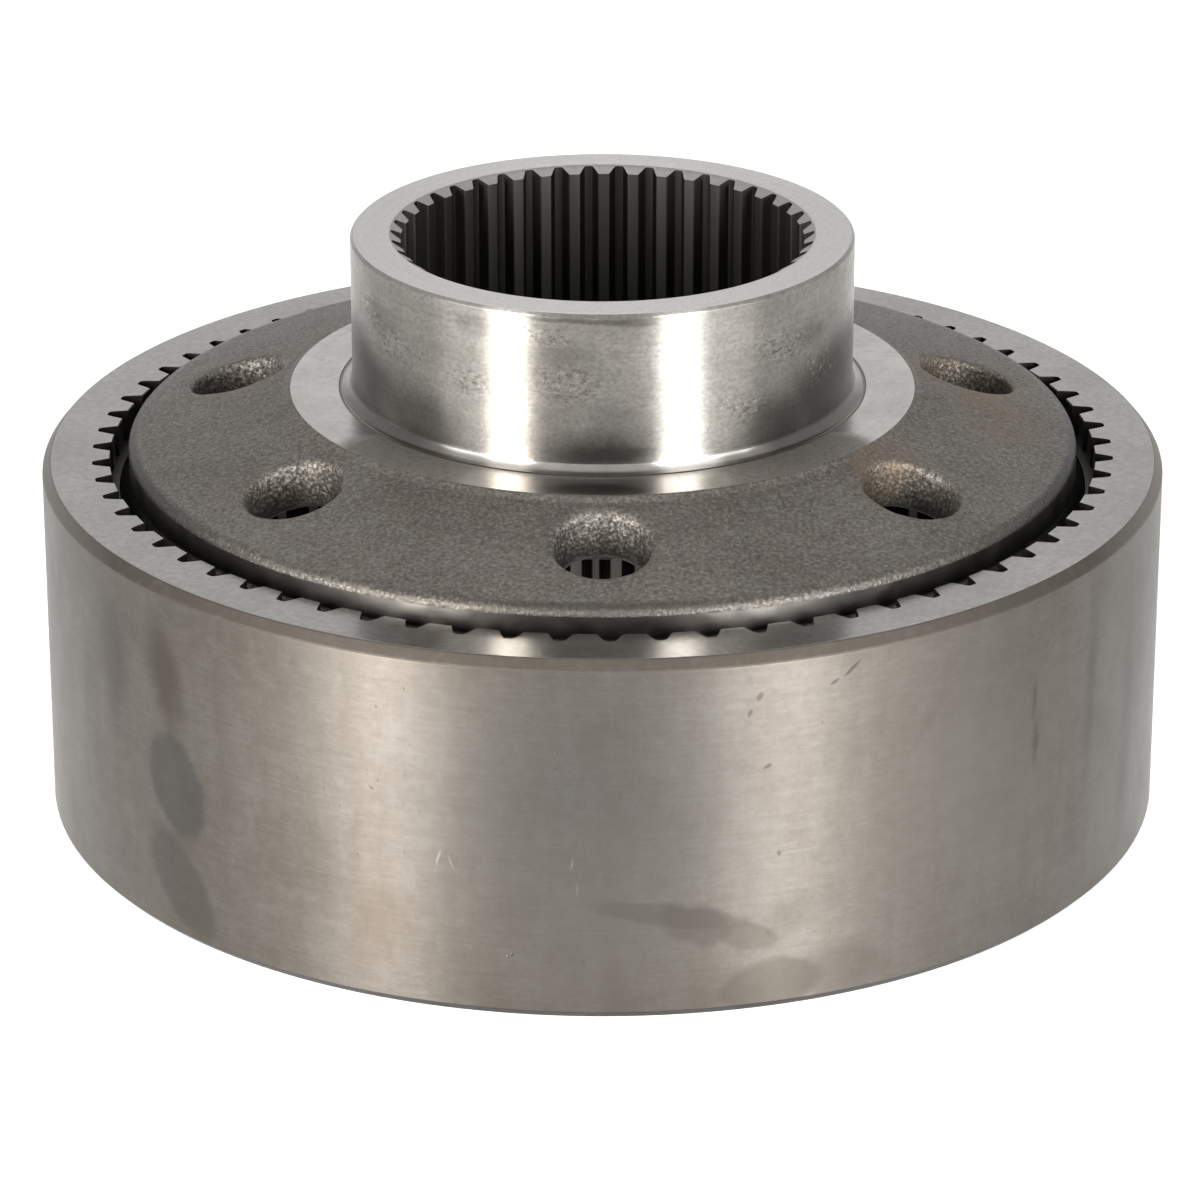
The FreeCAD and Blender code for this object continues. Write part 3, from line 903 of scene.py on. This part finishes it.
# Degrees, height, half width, half height, lean, softness, raggedness, strength
boss_films_and_shade = [
    (-1, 138.5, 17, 6, 0, 0.75, 4, 0.7), (1, 139.2, 10, 2.6, -2, 0.7, 3, 0.78),
    (2, 145, 18, 7, 0, 0.9, 5, 0.2),
    (-80, 147.5, 34, 13, 5, 0.5, 3.5, 0.93), (-44, 141, 15, 10, 12, 0.55, 3, 0.55),
    (65, 146.5, 28, 12.5, -8, 0.5, 3.5, 0.88), (40, 140, 12, 9, -14, 0.55, 3, 0.6),
    (90, 149, 28, 13, 0, 0.5, 4, 0.93), (150, 144, 34, 10, 6, 0.6, 4, 0.6),
    (-115, 145, 26, 11, 0, 0.6, 4, 0.6), (208, 145, 26, 10, -8, 0.6, 4, 0.6),
    (-60, 168, 9, 5, 10, 0.6, 2.5, 0.3), (55, 166, 7, 4, 0, 0.6, 2, 0.3),
    (-8, 171, 9, 5, 0, 0.7, 2.5, 0.22), (-30, 176, 5, 3, 0, 0.6, 2, 0.25),
    (-3, 181.1, 19, 0.8, 0, 0.6, 1.6, 0.55), (7, 180, 7, 0.7, 2, 0.6, 1.5, 0.4),
]
# The dark films are partly oil and partly painted shade.
for degrees, height, wide, tall, lean, soft, ragged, strength in boss_films_and_shade:
    boss.over((0.042, 0.039, 0.035), boss.spot(BOSS_R, degrees, height, wide, tall, lean, soft, ragged), strength)
# Degrees, height, half width, half height of pitted patches
pitted = [(-58, 163, 12, 5.5), (-66, 171, 8, 4), (-31, 158, 7, 4), (-8, 161, 10, 6),
          (-13, 176, 8, 3), (45, 165, 11, 5), (58, 154, 9, 5), (33, 150, 8, 4),
          (120, 160, 14, 6), (200, 165, 12, 5)]
pits = boss.fit(boss.noise((2.0, 2.0, 1.3), detail=4, rough=0.75, shift=8), 0.5, 0.6)
light = boss.fit(boss.noise((1.8, 1.8, 1.0), detail=3, rough=0.7, shift=15), 0.56, 0.64)
for degrees, height, wide, tall in pitted:
    inside = boss.spot(BOSS_R, degrees, height, wide, tall, lean=8, soft=0.6, ragged=3.0)
    boss.over((0.085, 0.078, 0.064), inside, pits, 0.75)
    boss.over((0.42, 0.405, 0.375), inside, light, 0.55)
relief = boss.bump(speckle, 0.006, boss.bump(boss.rings(0.7, shift=5), 0.005))
boss.close(boss.bump(boss.noise(14, detail=2), 0.03, relief), boss.fit(smudge, 0.4, 0.7, 0.3, 0.36))

boss_top = Finish("turned_top", 1.0, 0.42, grooved=0.4)
grain = boss_top.noise(0.9, detail=3, rough=0.7)
boss_top.base(boss_top.fit(grain, 0.3, 0.7), (0.4, 0.392, 0.38), (0.5, 0.49, 0.478))
boss_top.over((0.3, 0.29, 0.28), boss_top.fit(boss_top.rings(0.9), 0.4, 0.8, 0, 0.2))
boss_top.close(boss_top.bump(grain, 0.006))
print("films on the boss:", len(boss_films_and_shade), "pitted patches:", len(pitted))

# %% [markdown]
# ## The oily rim, the bore, and the hub as a piece
#
# The rim is turned too, but under a dark film of oil. The bore is nearly black, with the tips of its splines a
# little worn, and the chamfer at its mouth is bare. The groove line on the face carries painted shade: dark brown
# at the front, lighter round the sides and back. They are small, so each needs little more than two tones. Then
# the mesh takes the place of the CAD node.

# %% The oily rim, the bore and small zones
rim = Finish("oily_rim", 1.0, 0.33, grooved=0.6)
rim.base(rim.noise((18, 18, 6), detail=4), (0.06, 0.057, 0.052), (0.116, 0.11, 0.101))
rim.close(rim.bump(rim.rings(0.6), 0.006), rim.fit(rim.noise(8), 0.3, 0.7, 0.29, 0.38))

bore_dark = Finish("dark_bore", 1.0, 0.45)
bore_dark.base(bore_dark.noise((3, 3, 40), detail=4), (0.02, 0.018, 0.016), (0.04, 0.037, 0.034))
bore_dark.over((0.06, 0.058, 0.054), bore_dark.fit(bore_dark.radius(), 0.0626, 0.0621))
bore_dark.close(bore_dark.bump(bore_dark.noise((0.6, 0.6, 30), detail=2), 0.01))

ends = Finish("chamfered_ends", 1.0, 0.45)
ends.base(ends.noise(2, detail=4), (0.2, 0.195, 0.185), (0.29, 0.285, 0.275))
ends.close()

# Painted shade in the groove line: dark brown at the front, lighter round the sides and back.
line = Finish("shaded_groove_line", 0.6, 0.6)
line.base(line.noise(4, detail=4), (0.014, 0.011, 0.009), (0.052, 0.036, 0.022))
line.over((0.24, 0.225, 0.2), line.fit(line.axes()[1], -0.055, -0.025, 0, 0.85))
line.close()
TURNED_RIM_R = 143.0


def hub_zone(radius, height, normal):
    """The finish of a face of the hub, from where it is and where it looks."""
    if radius < SPLINE_ROOT_R + 0.6 and height > HUB_TOP - 3:
        return "ends" if normal.z > 0.3 else "bore"
    if radius < SPLINE_ROOT_R + 0.3 and abs(normal.z) < 0.9:
        return "bore"
    if height > HUB_TOP - 0.1 and normal.z > 0.8:
        return "top"
    if radius < FOOT_R + 0.02 and height > FACE_Z - 0.02:
        return "foot" if height < FACE_Z + FOOT_ROUND * 0.8 else "boss"
    if radius < FOOT_R + 1.1 and FACE_Z - 0.3 < height < FACE_Z - 0.05:
        return "line"
    if radius < FACE_R + 0.05 and height > FACE_Z - 0.3:
        return "face" if normal.z > 0.97 else "cast"
    rim_side = radius > TURNED_RIM_R and normal.z < 0.12 and height > TOOTH_Z[1] - 1
    return "rim" if rim_side or height < TOOTH_Z[1] and radius > RIM_IN + 0.5 else "cast"


hub_finishes = {"cast": cast, "face": face, "boss": boss, "top": boss_top, "rim": rim, "bore": bore_dark,
                "ends": ends, "line": line, "foot": foot}
make_piece(hub, "hub_fine", "ring_gear_hub", hub_finishes, hub_zone)

# %% [markdown]
# ## The retaining ring
#
# A flat ring of dark spring steel lies in the groove above the hub's teeth. Only slivers of it show in the tooth
# spaces. Its solid from the CAD model is right as it is, so it stays and gets an oily dark finish.

# %% The retaining ring's finish
spring = Finish("oiled_spring_steel", 1.0, 0.45)
spring.base(spring.noise(4, detail=4), (0.035, 0.033, 0.03), (0.075, 0.07, 0.064))
spring.close(spring.bump(spring.noise(0.8, detail=2), 0.01))
retaining_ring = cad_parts["retaining_ring"]
retaining_ring.data.materials.clear()
retaining_ring.data.materials.append(spring.material)
print("retaining ring's finish:", spring.material.name)

# %% [markdown]
# ## The camera
#
# The photograph was taken from the front, a little above. A camera could be turned by eye until it fits. Here
# it was worked out from circles: the ring's edges, the rim, the face and the boss show as ellipses, and only one
# place and one lens make all of them right.

# %% The camera
CAMERA_AT = Vector((-0.00075, -1.6271, 0.7327))
CAMERA_AIM = Vector((-0.00075, 0, 0.0603))
LENS, SENSOR = 167.5, 36
camera_data = bpy.data.cameras.new("camera")
camera_data.lens = LENS
camera_data.sensor_width = SENSOR
camera = add_object("camera", camera_data)
camera.location = CAMERA_AT
camera.rotation_euler = (CAMERA_AIM - CAMERA_AT).to_track_quat("-Z", "Y").to_euler()
bpy.context.scene.camera = camera
print("camera to object in m:", round((CAMERA_AIM - CAMERA_AT).length, 3))

# %% [markdown]
# ## The floor and the world
#
# The object was photographed on white. A white sheet and world would light it from all sides and wash the bands
# out. So both are white only where the camera, a mirror or glass sees them, and give the object a plain amount
# of light. The Light Path node tells these cases apart.

# %% The floor and the world
ROOM_LIGHT = 0.5
FLOOR_GLOW = 0.45
FLOOR_R = 6.0


def seen(tree):
    """1 for a ray from the camera, from a mirror or through glass."""
    path = tree.nodes.new("ShaderNodeLightPath")
    value = path.outputs["Is Camera Ray"]
    for name in ("Is Glossy Ray", "Is Transmission Ray"):
        larger = tree.nodes.new("ShaderNodeMath")
        larger.operation = "MAXIMUM"
        tree.links.new(value, larger.inputs[0])
        tree.links.new(path.outputs[name], larger.inputs[1])
        value = larger.outputs[0]
    return value


floor_bm = bmesh.new()
bmesh.ops.create_circle(floor_bm, cap_ends=True, radius=FLOOR_R, segments=64)
floor_mesh = bpy.data.meshes.new("floor")
floor_bm.to_mesh(floor_mesh)
floor_bm.free()
floor = add_object("floor", floor_mesh)
paper = bpy.data.materials.new("white_paper")
paper.use_nodes = True
paper_shader = paper.node_tree.nodes["Principled BSDF"]
for name, value in (("Base Color", (0.8, 0.8, 0.8, 1)), ("Roughness", 0.9), ("Specular IOR Level", 0.0),
                    ("Emission Color", (1, 1, 1, 1))):
    paper_shader.inputs[name].default_value = value
glow = paper.node_tree.nodes.new("ShaderNodeMath")
glow.operation = "MULTIPLY"
glow.inputs[1].default_value = FLOOR_GLOW
paper.node_tree.links.new(seen(paper.node_tree), glow.inputs[0])
paper.node_tree.links.new(glow.outputs[0], paper_shader.inputs["Emission Strength"])
floor_mesh.materials.append(paper)

world = bpy.data.worlds.new("studio")
world.use_nodes = True
bpy.context.scene.world = world
tree = world.node_tree
background = tree.nodes["Background"]
background.inputs["Color"].default_value = (1, 1, 1, 1)
level = tree.nodes.new("ShaderNodeMapRange")
tree.links.new(seen(tree), level.inputs[0])
level.inputs[3].default_value = ROOM_LIGHT
level.inputs[4].default_value = 1.0
tree.links.new(level.outputs[0], background.inputs["Strength"])
print("room light:", ROOM_LIGHT)

# %% [markdown]
# ## The softboxes
#
# Two upright softboxes stand at the front left and the front right. Point lamps would leave thin hard lines, and
# these wide soft lamps draw one tall band each on the boss and on the wall. Weak fills soften the outer edge of
# each band, and a weak one above lifts the tops.

# %% The softboxes
FRONT = 2.2
LOW, TALL = 0.02, 1.1
AIM = Vector((0, 0, 0.1))


def softbox(name, degrees, wide, power, tint=(1, 1, 1), distance=FRONT, low=LOW, tall=TALL):
    """A lamp behind a rectangle of cloth. degrees is 0 at the front and grows to the right."""
    data = bpy.data.lights.new(name, "AREA")
    data.shape = "RECTANGLE"
    data.size, data.size_y = wide, tall
    data.energy = power
    data.color = tint
    lamp = add_object(name, data)
    lamp.location = at(distance * 1000, degrees - 90, (low + tall / 2) * 1000)
    lamp.rotation_euler = (AIM - lamp.location).to_track_quat("-Z", "Y").to_euler()
    print(name, "watts:", power)


softbox("left_box", -41.5, 0.62, 84, (1.0, 0.975, 0.94))
softbox("left_fill", -63, 0.9, 11)
softbox("right_box", 34.8, 0.7, 78)
softbox("right_fill", 58, 0.9, 10)
softbox("top_box", 180, 1.6, 8, distance=1.2, low=2.0, tall=1.6)

bpy.context.scene.view_settings.view_transform = "Standard"
